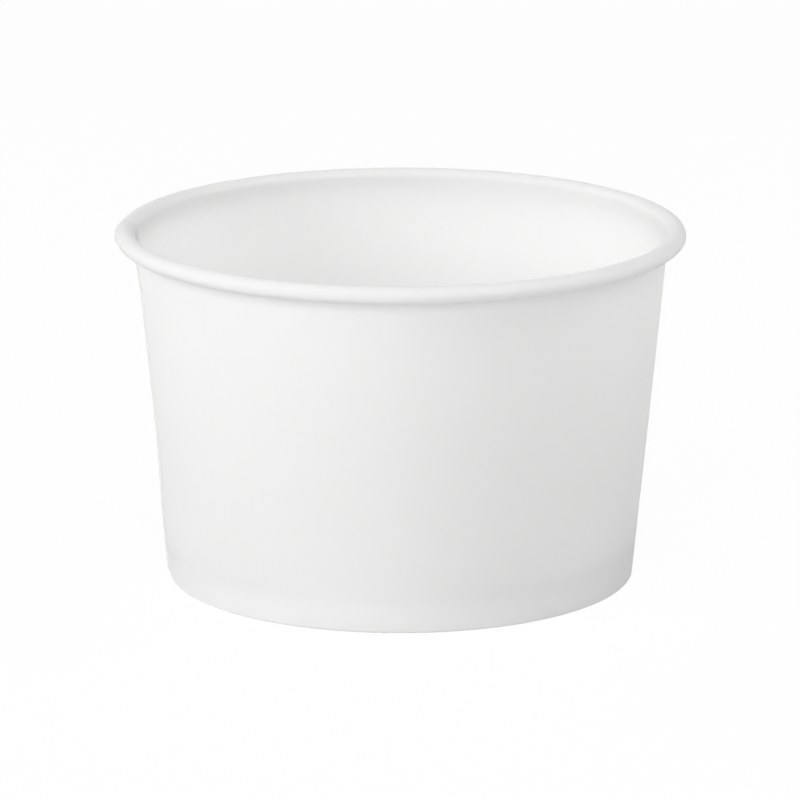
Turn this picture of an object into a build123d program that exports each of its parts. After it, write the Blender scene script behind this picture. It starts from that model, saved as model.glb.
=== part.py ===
from build123d import *
from math import asin, atan2, cos, degrees, hypot, sin, sqrt
import os

os.makedirs("parts", exist_ok=True)

# Paper soup cup in millimetres: a wrapped board wall and a board base caught in its foot.
# The axis is Z, the foot stands at zero height, and the lap of the wall is centred near -X.

# Whole cup
rim_diameter = 115.0
cup_height = 72.0
foot_diameter = 94.3

# Side wall, one blank wrapped round, lapped, rolled out at the top and turned in at the foot
wall_board = 0.42
roll_width = 4.0
roll_height = 3.4
roll_turn = 270.0
tuck_turn = 122.0
tuck_clearance = 0.08
fold_radius = 0.10
hem_height = 6.5

# Lap of the blank's two ends: how wide, how far each end takes to settle, where it is
lap_width = 7.5
lap_ramp = 4.0
lap_swell = 0.13
lap_bearing = 179.0
ramp_steps = 3

# Base, one disc pressed up into the foot with its edge turned down
base_board = 0.32
base_recess = 8.0
shoulder_radius = 0.50
skirt_clearance = 0.05
skirt_floor_gap = 0.30

rim_radius = rim_diameter / 2
foot_radius = foot_diameter / 2

# The roll is pressed a little flat: an oval of quarter turns, tighter at its sides than at its
# top and bottom, whose centres lie a quarter offset from the roll's own centre
radius_step = (roll_width - roll_height) / 2 / (sqrt(2) - 1)
quarter_offset = radius_step / sqrt(2)
side_radius = (roll_width - wall_board) / 2 - quarter_offset
top_radius = side_radius + radius_step
side_centre = Vector(rim_radius - roll_width / 2 - quarter_offset, cup_height - roll_height / 2)

# The wall's outer face runs from the foot to the inner side of the roll, and its lean follows
foot_to_roll = hypot(side_centre.X - foot_radius, side_centre.Y)
sight_angle = atan2(side_centre.X - foot_radius, side_centre.Y)
lean = sight_angle - asin((side_radius - wall_board / 2) / foot_to_roll)
up_wall = Vector(sin(lean), cos(lean))
out_of_wall = Vector(cos(lean), -sin(lean))

# The tucked end stays clear of the wall where the board lies double
roll_reach = side_radius + quarter_offset * (cos(lean) - sin(lean))
tuck_radius = roll_reach - 2 * wall_board - tuck_clearance

# The doubled board swells the roll, which stays tangent to the wall and keeps its top level
swell_shift = Vector((1 - sin(lean)) / cos(lean), -1) * lap_swell

# Widths round the rim as turns about the axis
lap_angle = degrees(lap_width / rim_radius)
ramp_angle = degrees(lap_ramp / rim_radius)

# The slot between wall and hem holds the base's skirt
skirt_slot = base_board + 2 * skirt_clearance
hem_inset = 2 * wall_board + skirt_slot
skirt_inset = wall_board + skirt_slot / 2
skirt_bottom = 2 * wall_board + skirt_floor_gap


def along_wall(inset, rise):
    """A point of the section, in from the wall's outer face and up along it."""
    return Vector(foot_radius, 0) - out_of_wall * inset + up_wall * rise


def at_level(inset, level):
    """The point of the line parallel to the wall that lies at a height."""
    return along_wall(inset, (level - inset * sin(lean)) / cos(lean))


def board_section(first_ply, last_ply, lapped):
    """Section through the board from the hem's top to the end tucked into the roll.

    Plies are counted outwards through the wall, and the inner one lies outermost on the roll.
    The share lapped is 1 where the blank lies double and 0 where it has settled again.
    """
    thickness = (last_ply - first_ply) * wall_board
    shift = (first_ply + last_ply - 1) * wall_board / 2
    fold_level = (lapped + 1 - last_ply) * wall_board + thickness / 2
    wall_inset = wall_board / 2 - shift
    hem_line = hem_inset - wall_board / 2 + shift
    growth = lapped * lap_swell - shift
    roll_start = side_centre + swell_shift * lapped - out_of_wall * (side_radius + growth)
    legs = FilletPolyline(
        along_wall(hem_line, hem_height),
        at_level(hem_line, fold_level),
        at_level(wall_inset, fold_level),
        roll_start,
        radius=fold_radius + first_ply * wall_board + thickness / 2,
    )
    curls = [legs]
    first_turn = 45 - degrees(lean)
    last_turn = roll_turn - first_turn - 180
    for radius, turn in (
        (side_radius + growth, first_turn),
        (top_radius + growth, 90),
        (side_radius + growth, 90),
        (top_radius + growth, last_turn),
        (tuck_radius - shift, tuck_turn),
    ):
        curls.append(JernArc(curls[-1] @ 1, curls[-1] % 1, radius, -turn))
    return Plane.XZ * trace(Curve() + curls, thickness)


def settle(sections, turn):
    """The board between sections spaced evenly over a turn about the axis."""
    gaps = len(sections) - 1
    placed = [(Rot(Z=turn * i / gaps) * section).face() for i, section in enumerate(sections)]
    return loft(placed, ruled=True)


def make_side_wall():
    """The wrapped blank: single board, a ramp up onto the lap, the lap, and its far side."""
    shares = [step / ramp_steps for step in range(ramp_steps + 1)]
    ramp = settle([board_section(share, 1 + share, share) for share in shares], ramp_angle)
    lap = revolve(board_section(0, 2, 1), Axis.Z, lap_angle)
    ease = settle([board_section(0, 1, 1 - share) for share in shares], ramp_angle)
    wrap = revolve(board_section(0, 1, 0), Axis.Z, 360 - lap_angle - 2 * ramp_angle)
    lap_start = lap_bearing - lap_angle / 2
    lap_end = lap_bearing + lap_angle / 2
    wall = Rot(Z=lap_start - ramp_angle) * ramp
    wall += Rot(Z=lap_start) * lap
    wall += Rot(Z=lap_end) * ease
    return wall + Rot(Z=lap_end + ramp_angle) * wrap


def make_base_disc():
    """The flat panel, its pressed shoulder and the skirt that stands in the wall's fold."""
    panel_level = base_recess + base_board / 2
    half = FilletPolyline(
        (0, panel_level),
        at_level(skirt_inset, panel_level),
        at_level(skirt_inset, skirt_bottom),
        radius=shoulder_radius + base_board / 2,
    )
    return revolve(Plane.XZ * trace(half, base_board), Axis.Z)


export_step(make_side_wall(), "parts/side_wall.step")
export_step(make_base_disc(), "parts/base_disc.step")
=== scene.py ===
import math

import bpy
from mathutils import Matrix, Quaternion, Vector


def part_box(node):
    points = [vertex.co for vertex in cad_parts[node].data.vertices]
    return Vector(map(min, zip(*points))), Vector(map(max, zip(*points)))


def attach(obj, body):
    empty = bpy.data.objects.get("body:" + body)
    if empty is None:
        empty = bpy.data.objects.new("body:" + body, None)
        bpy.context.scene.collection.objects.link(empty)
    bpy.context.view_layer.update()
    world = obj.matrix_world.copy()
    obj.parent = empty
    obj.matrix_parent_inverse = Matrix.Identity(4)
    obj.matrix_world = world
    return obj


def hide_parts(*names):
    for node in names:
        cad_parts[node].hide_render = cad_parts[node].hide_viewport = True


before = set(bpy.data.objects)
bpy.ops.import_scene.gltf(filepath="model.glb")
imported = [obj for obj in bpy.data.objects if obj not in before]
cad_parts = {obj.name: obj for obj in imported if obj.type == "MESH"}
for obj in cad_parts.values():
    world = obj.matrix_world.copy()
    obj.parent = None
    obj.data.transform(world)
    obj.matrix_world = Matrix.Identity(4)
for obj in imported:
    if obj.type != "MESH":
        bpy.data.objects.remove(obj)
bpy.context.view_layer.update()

mm = 0.001
fullTurn = 2 * math.pi

# the CAD boxes give the rim, the height and the base's level
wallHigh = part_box("side_wall")[1]
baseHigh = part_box("base_disc")[1]


def smoothStep(value, start, end):
    t = min(1.0, max(0.0, (value - start) / (end - start)))
    return t * t * (3 - 2 * t)


def spread(start, end, count):
    return [start + (end - start) * i / (count - 1) for i in range(count)]


# a station is (radius, height, heading); the lined face lies on the left of the heading
def straight(start, end, count):
    heading = math.atan2(end[1] - start[1], end[0] - start[0])
    return [(start[0] + (end[0] - start[0]) * t, start[1] + (end[1] - start[1]) * t, heading)
            for t in spread(0.0, 1.0, count)]


# turn is positive to the left; the first point is left out, because the run before it has it
def bend(start, radius, turn, count):
    side = math.copysign(1.0, turn)
    heading = start[2]
    centre = (start[0] - side * radius * math.sin(heading), start[1] + side * radius * math.cos(heading))
    stations = []
    for angle in spread(heading, heading + turn, count + 1)[1:]:
        stations.append((centre[0] + side * radius * math.sin(angle),
                         centre[1] - side * radius * math.cos(angle), angle))
    return stations


# side wall: one blank of board, wrapped, lapped, rolled out at the top, turned in at the foot
blank = {
    "board": 0.42 * mm,
    "footRadius": 47.15 * mm,
    "rollWidth": 4.0 * mm,
    "rollHeight": 3.4 * mm,
    "rollTurn": math.radians(270),
    "tuckTurn": math.radians(122),
    "tuckGap": 0.08 * mm,
    "foldRadius": 0.10 * mm,
    "hemHeight": 6.5 * mm,
    "skirtSlot": 0.42 * mm,
    "lapWidth": 7.5 * mm,
    "lapRamp": 4.0 * mm,
    "lapSwell": 0.13 * mm,
    "lapBearing": math.radians(179),
    "plyGap": 0.012 * mm,
    "columns": 611,
    "hemRows": 9,
    "foldRows": 5,
    "wallRows": 18,
    "rollRows": 8,
    "tuckRows": 9,
}

# the wall's slight waviness, as (waves round the cup, size, phase), and the flatter stretch at the stiff lap
waviness = {
    "waves": [(2, 0.040 * mm, 0.6), (3, 0.050 * mm, 2.1), (5, 0.022 * mm, 4.4), (9, 0.010 * mm, 1.2)],
    "lapFlat": 0.60 * mm,
    "lapSpread": math.radians(26),
    "fromHeight": 9 * mm,
    "fullHeight": 30 * mm,
    "fadeHeight": 60 * mm,
    "endHeight": 68 * mm,
}

# marks that the base leaves in the foot: the knurl inside the hem, a faint band outside
footMarks = {
    "ribs": 120,
    "ribDepth": 0.11 * mm,
    "knurlLow": 1.2 * mm,
    "knurlHigh": 6.0 * mm,
    "knurlFade": 0.6 * mm,
    "bandHeight": 8.3 * mm,
    "bandWidth": 1.1 * mm,
    "bandSize": 0.035 * mm,
}

# the roll is pressed a little flat: quarter turns, tighter at its sides than at top and bottom
radiusStep = (blank["rollWidth"] - blank["rollHeight"]) / 2 / (math.sqrt(2) - 1)
quarterOffset = radiusStep / math.sqrt(2)
sideRadius = (blank["rollWidth"] - blank["board"]) / 2 - quarterOffset
topRadius = sideRadius + radiusStep
sideCentre = (wallHigh.x - blank["rollWidth"] / 2 - quarterOffset, wallHigh.z - blank["rollHeight"] / 2)
sight = (sideCentre[0] - blank["footRadius"], sideCentre[1])
lean = math.atan2(*sight) - math.asin((sideRadius - blank["board"] / 2) / math.hypot(*sight))
rollReach = sideRadius + quarterOffset * (math.cos(lean) - math.sin(lean))
tuckRadius = rollReach - 2 * blank["board"] - blank["tuckGap"]
firstTurn = math.pi / 4 - lean
lastTurn = blank["rollTurn"] - firstTurn - math.pi
curls = [(sideRadius, firstTurn), (topRadius, math.pi / 2),
         (sideRadius, math.pi / 2), (topRadius, lastTurn)]
lapTurn = blank["lapWidth"] / wallHigh.x
rampTurn = blank["lapRamp"] / wallHigh.x
seamTurn = blank["lapBearing"] - lapTurn / 2 - rampTurn
stack = blank["board"] + blank["plyGap"]


# a point on the line parallel to the wall's outer face, inset from it, at a height
def atLevel(inset, level):
    return (blank["footRadius"] - inset / math.cos(lean) + level * math.tan(lean), level)


def onHem(inset):
    along = (blank["hemHeight"] - inset * math.sin(lean)) / math.cos(lean)
    return (blank["footRadius"] - inset * math.cos(lean) + along * math.sin(lean),
            inset * math.sin(lean) + along * math.cos(lean))


# shift lays the board out onto the other ply; lapped is 1 in the lap and 0 where it has settled
def boardSection(shift, lapped):
    half = blank["board"] / 2
    radius = blank["foldRadius"] + half + shift
    wallInset = half - shift
    hemInset = 2 * blank["board"] + blank["skirtSlot"] - half + shift
    level = half + stack * lapped - shift
    swell = blank["lapSwell"] * lapped
    cornerIn, cornerOut = atLevel(hemInset, level), atLevel(wallInset, level)
    backIn = radius * math.tan((math.pi / 2 + lean) / 2)
    backOut = radius * math.tan((math.pi / 2 - lean) / 2)
    up = (math.sin(lean), math.cos(lean))
    hemEnd = (cornerIn[0] + up[0] * backIn, cornerIn[1] + up[1] * backIn)
    wallStart = (cornerOut[0] + up[0] * backOut, cornerOut[1] + up[1] * backOut)
    growth = swell - shift
    wallEnd = (sideCentre[0] + swell * (1 - up[0]) / up[1] - up[1] * (sideRadius + growth),
               sideCentre[1] - swell + up[0] * (sideRadius + growth))
    stations = straight(onHem(hemInset), hemEnd, blank["hemRows"])
    stations += bend(stations[-1], radius, math.pi / 2 + lean, blank["foldRows"])
    stations += bend((cornerOut[0] - backOut, level, 0.0), radius, math.pi / 2 - lean, blank["foldRows"])
    stations += straight(wallStart, wallEnd, blank["wallRows"])[1:]
    for curlRadius, curlTurn in curls:
        stations += bend(stations[-1], curlRadius + growth, -curlTurn, blank["rollRows"])
    stations += bend(stations[-1], tuckRadius - shift, -blank["tuckTurn"], blank["tuckRows"])
    return stations


def wavesAt(bearing, height):
    size = sum(amount * math.sin(count * bearing + phase) for count, amount, phase in waviness["waves"])
    away = math.remainder(bearing - blank["lapBearing"], fullTurn) / waviness["lapSpread"]
    size -= waviness["lapFlat"] * math.exp(-away * away)
    rise = smoothStep(height, waviness["fromHeight"], waviness["fullHeight"])
    fade = 1 - smoothStep(height, waviness["fadeHeight"], waviness["endHeight"])
    return size * rise * fade


def bandAt(height):
    away = (height - footMarks["bandHeight"]) / footMarks["bandWidth"]
    return footMarks["bandSize"] * math.exp(-away * away)


def knurlAt(turn, height):
    low, high, fade = footMarks["knurlLow"], footMarks["knurlHigh"], footMarks["knurlFade"]
    window = smoothStep(height, low, low + fade) * (1 - smoothStep(height, high - fade, high))
    wave = 0.5 + 0.5 * math.cos(footMarks["ribs"] * turn)
    return footMarks["ribDepth"] * window * wave


sharpAngle = math.radians(38)  # faces that meet at more than this show an edge


def addPiece(name, points, faces, finishes, slots, node):
    mesh = bpy.data.meshes.new(name)
    mesh.from_pydata(points, [], faces)
    for material in finishes:
        mesh.materials.append(material)
    mesh.polygons.foreach_set("material_index", slots)
    mesh.polygons.foreach_set("use_smooth", [True] * len(faces))
    mesh.set_sharp_from_angle(angle=sharpAngle)
    mesh.update()
    piece = bpy.data.objects.new(name, mesh)
    bpy.context.scene.collection.objects.link(piece)
    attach(piece, "root")
    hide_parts(node)
    print(name, "faces", len(faces))
    return piece


# shader maths: one socket, with the operators that the finishes use
class Wire:
    def __init__(self, tree, socket=None):
        self.tree = tree
        self.socket = socket

    # settings go on first, because they decide which sockets the node has
    def make(self, kind, settings, inputs, output=0):
        node = self.tree.nodes.new("ShaderNode" + kind)
        for name, value in settings.items():
            setattr(node, name, value)
        for name, value in inputs.items():
            if isinstance(value, Wire):
                self.tree.links.new(value.socket, node.inputs[name])
            else:
                node.inputs[name].default_value = value
        return Wire(self.tree, node.outputs[output] if len(node.outputs) else None)

    def maths(self, operation, first, second):
        return self.make("Math", {"operation": operation}, {0: first, 1: second})

    def __add__(self, other):
        return self.maths("ADD", self, other)

    def __sub__(self, other):
        return self.maths("SUBTRACT", self, other)

    def __rsub__(self, other):
        return self.maths("SUBTRACT", other, self)

    def __mul__(self, other):
        return self.maths("MULTIPLY", self, other)

    __radd__ = __add__
    __rmul__ = __mul__


def newMaterial(name):
    material = bpy.data.materials.new(name)
    material.use_nodes = True
    material.node_tree.nodes.clear()
    return material, Wire(material.node_tree)


# board finishes: colour, how much it mottles, sheen of the face, size and height of the grain
printFace = {
    "colour": (0.902, 0.902, 0.899),
    "cloud": (0.890, 0.890, 0.886),
    "sheen": 0.24,
    "through": 0.38,
    "roughness": 0.60,
    "roughnessSpread": 0.10,
    "grainScale": 1500.0,
    "grainHeight": 0.0050 * mm,
    "fibreHeight": 0.0040 * mm,
    "swellHeight": 0.0100 * mm,
}
linedFace = {
    "colour": (0.940, 0.940, 0.938),
    "cloud": (0.932, 0.932, 0.929),
    "sheen": 0.15,
    "through": 0.44,
    "roughness": 0.58,
    "roughnessSpread": 0.10,
    "grainScale": 900.0,
    "grainHeight": 0.0035 * mm,
    "fibreHeight": 0.0040 * mm,
    "swellHeight": 0.0120 * mm,
}
cutFace = {
    "colour": (0.905, 0.902, 0.895),
    "cloud": (0.875, 0.870, 0.858),
    "sheen": 0.15,
    "through": 0.10,
    "roughness": 0.85,
    "roughnessSpread": 0.10,
    "grainScale": 5200.0,
    "grainHeight": 0.0040 * mm,
    "fibreHeight": 0.0030 * mm,
    "swellHeight": 0.0060 * mm,
}


# what all the board's faces share: noise scales, and how the noises mix
grain = {
    "fibreStretch": (1.0, 1.0, 0.08),
    "cloudScale": 95.0,
    "fibreScale": 1100.0,
    "swellScale": 160.0,
    "cloudShare": 0.65,
    "grainShare": 0.6,
    "middle": 0.5,
}

# at the foot the wall is backed by the base's skirt and the hem, so less light goes through
backed = {"from": 4 * mm, "to": 12 * mm, "share": 0.34}


def boardMaterial(name, look):
    material, wire = newMaterial(name)
    place = wire.make("TexCoord", {}, {}, "Object")
    # fibres run up the wall, so their noise is stretched along the axis
    alongAxis = wire.make("VectorMath", {"operation": "MULTIPLY"}, {0: place, 1: grain["fibreStretch"]})
    cloud = wire.make("TexNoise", {}, {"Vector": place, "Scale": grain["cloudScale"], "Detail": 3.0,
                                       "Roughness": 0.55})
    fibre = wire.make("TexNoise", {}, {"Vector": alongAxis, "Scale": grain["fibreScale"], "Detail": 2.0,
                                       "Roughness": 0.6})
    tooth = wire.make("TexNoise", {}, {"Vector": place, "Scale": look["grainScale"], "Detail": 2.0})
    swell = wire.make("TexNoise", {}, {"Vector": place, "Scale": grain["swellScale"], "Detail": 1.0})
    mottle = cloud * grain["cloudShare"] + fibre * (1 - grain["cloudShare"])
    colour = wire.make("Mix", {"data_type": "RGBA"},
                       {0: mottle, 6: (*look["colour"], 1.0), 7: (*look["cloud"], 1.0)}, 2)
    patches = tooth * grain["grainShare"] + cloud * (1 - grain["grainShare"]) - grain["middle"]
    roughness = look["roughness"] + look["roughnessSpread"] * patches
    height = tooth * look["grainHeight"] + fibre * look["fibreHeight"] + swell * look["swellHeight"]
    bump = wire.make("Bump", {}, {"Strength": 1.0, "Distance": 1.0, "Height": height})
    shader = wire.make("BsdfPrincipled", {}, {"Base Color": colour, "Roughness": roughness,
                                              "Normal": bump, "Specular IOR Level": look["sheen"]})
    # some light goes through the board, which brightens the inside
    through = wire.make("BsdfTranslucent", {}, {"Color": colour, "Normal": bump})
    level = wire.make("SeparateXYZ", {}, {"Vector": place}, "Z")
    clear = wire.make("MapRange", {"interpolation_type": "SMOOTHSTEP"},
                      {"Value": level, "From Min": backed["from"], "From Max": backed["to"],
                       "To Min": backed["share"], "To Max": 1.0})
    both = wire.make("MixShader", {}, {0: clear * look["through"], 1: shader, 2: through})
    wire.make("OutputMaterial", {}, {"Surface": both})
    return material


printedBoard = boardMaterial("printedBoard", printFace)
linedBoard = boardMaterial("linedBoard", linedFace)
cutBoard = boardMaterial("cutBoard", cutFace)
print("finishes ready")


def sideWall():
    thick = blank["board"]
    lapEnd = rampTurn + lapTurn
    turns = spread(rampTurn, fullTurn + lapEnd, blank["columns"])
    onHemRows = blank["hemRows"]
    points, faces, slots = [], [], []
    for turn in turns:
        raised = smoothStep(turn, fullTurn, fullTurn + rampTurn)
        settling = 1 - smoothStep(turn, lapEnd, lapEnd + rampTurn)
        stations = boardSection(stack * raised, raised + settling)
        bearing = turn + seamTurn
        for side in (-1, 1):
            for row, (radius, height, heading) in enumerate(stations):
                out = side * thick / 2
                if side < 0 and row < onHemRows:
                    out += knurlAt(turn, height)
                if row > onHemRows:
                    radius += bandAt(height)
                radius += wavesAt(bearing, height) - out * math.sin(heading)
                height += out * math.cos(heading)
                points.append((radius * math.cos(bearing), radius * math.sin(bearing), height))
    rows = len(stations)
    loop = list(range(rows)) + list(range(2 * rows - 1, rows - 1, -1))
    # the loop runs along the print face and back along the lined one
    for column in range(len(turns) - 1):
        here, there = column * 2 * rows, (column + 1) * 2 * rows
        for i, first in enumerate(loop):
            second = loop[(i + 1) % len(loop)]
            faces.append((here + first, here + second, there + second, there + first))
            isCut = i == rows - 1 or i == 2 * rows - 1
            slots.append(2 if isCut else 0 if i < rows else 1)
    for start, flip in ((0, False), ((len(turns) - 1) * 2 * rows, True)):
        for row in range(rows - 1):
            cap = (start + row, start + rows + row, start + rows + row + 1, start + row + 1)
            faces.append(cap[::-1] if flip else cap)
            slots.append(2)
    return addPiece("sideWall", points, faces, [printedBoard, linedBoard, cutBoard], slots,
                    "side_wall")


# base disc: a flat panel with a pressed shoulder and a skirt that stands in the fold
base = {
    "board": 0.32 * mm,
    "shoulderRadius": 0.50 * mm,
    "skirtBottom": 1.14 * mm,
    "pleats": 120,
    "pleatDepth": 0.035 * mm,
    "crown": 0.10 * mm,
    "middleSpot": 0.9 * mm,
    "pleatRows": 3,
    "pleatFade": 5,
    "columns": 600,
    "panelRows": 16,
    "shoulderRows": 8,
    "skirtRows": 7,
}


def baseDisc():
    half = base["board"] / 2
    level = baseHigh.z - half
    inset = blank["board"] + blank["skirtSlot"] / 2
    radius = base["shoulderRadius"] + half
    corner = atLevel(inset, level)
    back = radius * math.tan((math.pi / 2 + lean) / 2)
    stations = straight((base["middleSpot"], level), (corner[0] - back, level), base["panelRows"])
    stations += bend(stations[-1], radius, -(math.pi / 2 + lean), base["shoulderRows"])
    stations += straight(stations[-1][:2], atLevel(inset, base["skirtBottom"]), base["skirtRows"])[1:]
    points, faces, slots = [], [], []
    rows = len(stations)
    outer = stations[base["panelRows"]][0]
    for turn in spread(0.0, fullTurn, base["columns"] + 1)[:-1]:
        for side in (-1, 1):
            for row, (radius, height, heading) in enumerate(stations):
                pleat = 0.5 + 0.5 * math.cos(base["pleats"] * turn)
                window = smoothStep(row, base["panelRows"] - base["pleatRows"],
                                    base["panelRows"] + base["pleatRows"])
                fade = 1 - smoothStep(row, rows - 1 - base["pleatFade"], rows - 1)
                out = side * half - base["pleatDepth"] * pleat * window * fade
                away = max(0.0, 1 - radius / outer)
                rise = base["crown"] * smoothStep(away, 0.0, 1.0)
                across = radius - out * math.sin(heading)
                points.append((across * math.cos(turn), across * math.sin(turn),
                               height - rise + out * math.cos(heading)))
    loop = list(range(rows)) + list(range(2 * rows - 1, rows - 1, -1))
    size = 2 * rows
    for column in range(base["columns"]):
        here, there = column * size, (column + 1) % base["columns"] * size
        for i, first in enumerate(loop[:-1]):
            second = loop[i + 1]
            faces.append((here + first, here + second, there + second, there + first))
            slots.append(2 if i == rows - 1 else 0 if i < rows else 1)
    # the two flat spots at the middle
    faces.append(tuple(column * size for column in range(base["columns"]))[::-1])
    faces.append(tuple(column * size + rows for column in range(base["columns"])))
    slots += [0, 1]
    return addPiece("baseDisc", points, faces, [printedBoard, linedBoard, cutBoard], slots,
                    "base_disc")


sideWall()
baseDisc()

# camera: the photograph's angle, distance and framing
shot = {
    "target": (0.0, 0.0, 35 * mm),
    "elevation": math.radians(14.18),
    "distance": 1222 * mm,
    "roll": math.radians(-0.027),
    "lens": 270.7,
    "sensor": 36.0,
    "targetPixel": (400.99, 402.67),
    "frame": 800,
}


def addCamera():
    data = bpy.data.cameras.new("camera")
    data.lens, data.sensor_width = shot["lens"], shot["sensor"]
    data.shift_x = (shot["frame"] / 2 - shot["targetPixel"][0]) / shot["frame"]
    data.shift_y = (shot["targetPixel"][1] - shot["frame"] / 2) / shot["frame"]
    camera = bpy.data.objects.new("camera", data)
    back = Vector((0, -math.cos(shot["elevation"]), math.sin(shot["elevation"])))
    camera.location = Vector(shot["target"]) + back * shot["distance"]
    camera.rotation_mode = "QUATERNION"
    camera.rotation_quaternion = (-back).to_track_quat("-Z", "Y")
    camera.rotation_quaternion @= Quaternion((0, 0, 1), shot["roll"])
    bpy.context.scene.collection.objects.link(camera)
    bpy.context.scene.camera = camera


# light: soft boxes round the cup; azimuth 0 is the camera's side and minus is its left
softBoxes = {
    "left": {"azimuth": -60, "elevation": 25, "power": 10.6},
    "right": {"azimuth": 90, "elevation": 50, "power": 4.6},
    "lowRight": {"azimuth": 105, "elevation": 25, "power": 4.2},
    "front": {"azimuth": 0, "elevation": 25, "power": 7.8},
    "overhead": {"azimuth": 0, "elevation": 70, "power": 4.8},
    "backLeft": {"azimuth": -120, "elevation": 25, "power": 5.2},
}
softBox = {"size": 0.8, "distance": 1.5}
room = {"white": (1.0, 1.0, 1.0, 1.0), "floorColour": (0.92, 0.92, 0.92, 1.0), "floorGlow": 0.96,
        "floorSize": 8.0}


def addLights():
    for name, box in softBoxes.items():
        data = bpy.data.lights.new(name, "AREA")
        data.shape, data.size, data.energy = "SQUARE", softBox["size"], box["power"]
        lamp = bpy.data.objects.new(name, data)
        azimuth, elevation = math.radians(box["azimuth"]), math.radians(box["elevation"])
        away = Vector((math.sin(azimuth) * math.cos(elevation), -math.cos(azimuth) * math.cos(elevation),
                       math.sin(elevation)))
        lamp.location = Vector(shot["target"]) + away * softBox["distance"]
        lamp.rotation_mode = "QUATERNION"
        lamp.rotation_quaternion = away.to_track_quat("Z", "Y")
        bpy.context.scene.collection.objects.link(lamp)


# 1 for what the camera, a reflection or clear glass sees, and 0 for the light that falls on the cup
def seenDirectly(wire):
    path = {name: wire.make("LightPath", {}, {}, name)
            for name in ("Is Camera Ray", "Is Glossy Ray", "Is Transmission Ray")}
    total = path["Is Camera Ray"] + path["Is Glossy Ray"] + path["Is Transmission Ray"]
    return wire.make("Math", {"operation": "MINIMUM"}, {0: total, 1: 1.0})


# the room is white where it is seen; the soft boxes give all the light
def addWorld():
    world = bpy.data.worlds.new("room")
    bpy.context.scene.world = world
    world.use_nodes = True
    world.node_tree.nodes.clear()
    wire = Wire(world.node_tree)
    light = wire.make("Background", {}, {"Color": room["white"], "Strength": seenDirectly(wire)})
    wire.make("OutputWorld", {}, {"Surface": light})


def addFloor():
    material, wire = newMaterial("floorWhite")
    plain = wire.make("BsdfDiffuse", {}, {"Color": room["floorColour"]})
    glow = wire.make("Emission", {}, {"Color": room["white"], "Strength": 1.0})
    factor = seenDirectly(wire) * room["floorGlow"]
    seen = wire.make("MixShader", {}, {0: factor, 1: plain, 2: glow})
    # from below the floor isn't there, so the foot can be looked at
    clear = wire.make("BsdfTransparent", {}, {})
    below = wire.make("NewGeometry", {}, {}, "Backfacing")
    both = wire.make("MixShader", {}, {0: below, 1: seen, 2: clear})
    wire.make("OutputMaterial", {}, {"Surface": both})
    half = room["floorSize"] / 2
    mesh = bpy.data.meshes.new("floor")
    mesh.from_pydata([(-half, -half, 0), (half, -half, 0), (half, half, 0), (-half, half, 0)], [],
                     [(0, 1, 2, 3)])
    mesh.materials.append(material)
    floor = bpy.data.objects.new("floor", mesh)
    bpy.context.scene.collection.objects.link(floor)


addCamera()
addLights()
addWorld()
addFloor()
bpy.context.scene.view_settings.view_transform = "Standard"
print("stage ready")
